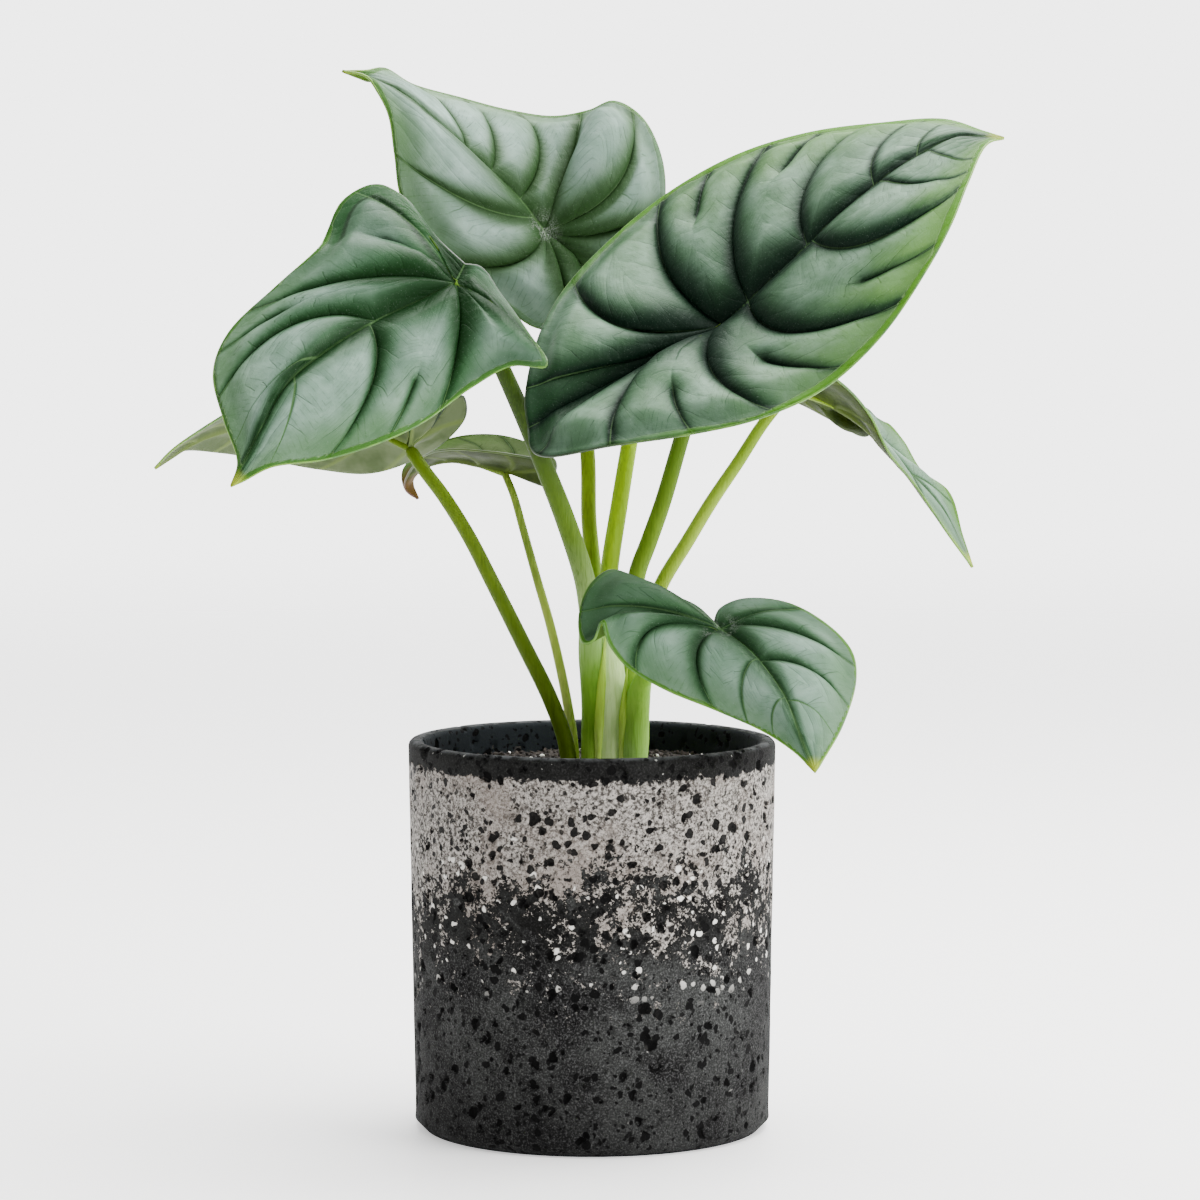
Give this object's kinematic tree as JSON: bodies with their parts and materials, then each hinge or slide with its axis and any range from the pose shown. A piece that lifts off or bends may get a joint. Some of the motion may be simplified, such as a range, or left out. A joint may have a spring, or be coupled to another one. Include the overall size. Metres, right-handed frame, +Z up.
{
  "type": "potted silver dragon alocasia",
  "caption": "Potted aroid with quilted silver and dark green arrow-shaped leaves on fleshy stalks, in a cylindrical cast-stone pot.",
  "frame": {"origin": "middle of the pot's flat base, on the surface that it stands on", "axes": "+Z up along the pot's axis, front of the plant towards -Y, +X to the viewer's right"},
  "size_m": [0.2736, 0.2155, 0.3465],
  "materials": {
    "leaf": "quilted, silver-green between dark green veins, half gloss",
    "stalk": "smooth fleshy green, satin",
    "sheath": "smooth, pale and bright green, satin",
    "soil": "dark crumbly potting soil with white grains",
    "stone": "pitted charcoal cast stone with a worn silver-white band"
  },
  "bodies": {
    "root": {"blade_front_right": "leaf", "blade_front_left": "leaf", "blade_top": "leaf", "blade_low_front": "leaf", "blade_far_left": "leaf", "blade_small_folded": "leaf", "blade_far_right": "leaf", "blade_back": "leaf", "petiole_front_right": "stalk", "petiole_front_left": "stalk", "petiole_top": "stalk", "petiole_low_front": "stalk", "petiole_far_left": "stalk", "petiole_small_folded": "stalk", "petiole_far_right": "stalk", "petiole_back": "stalk", "crown": "sheath", "soil": "soil", "pot": "stone"}
  },
  "joints": []
}
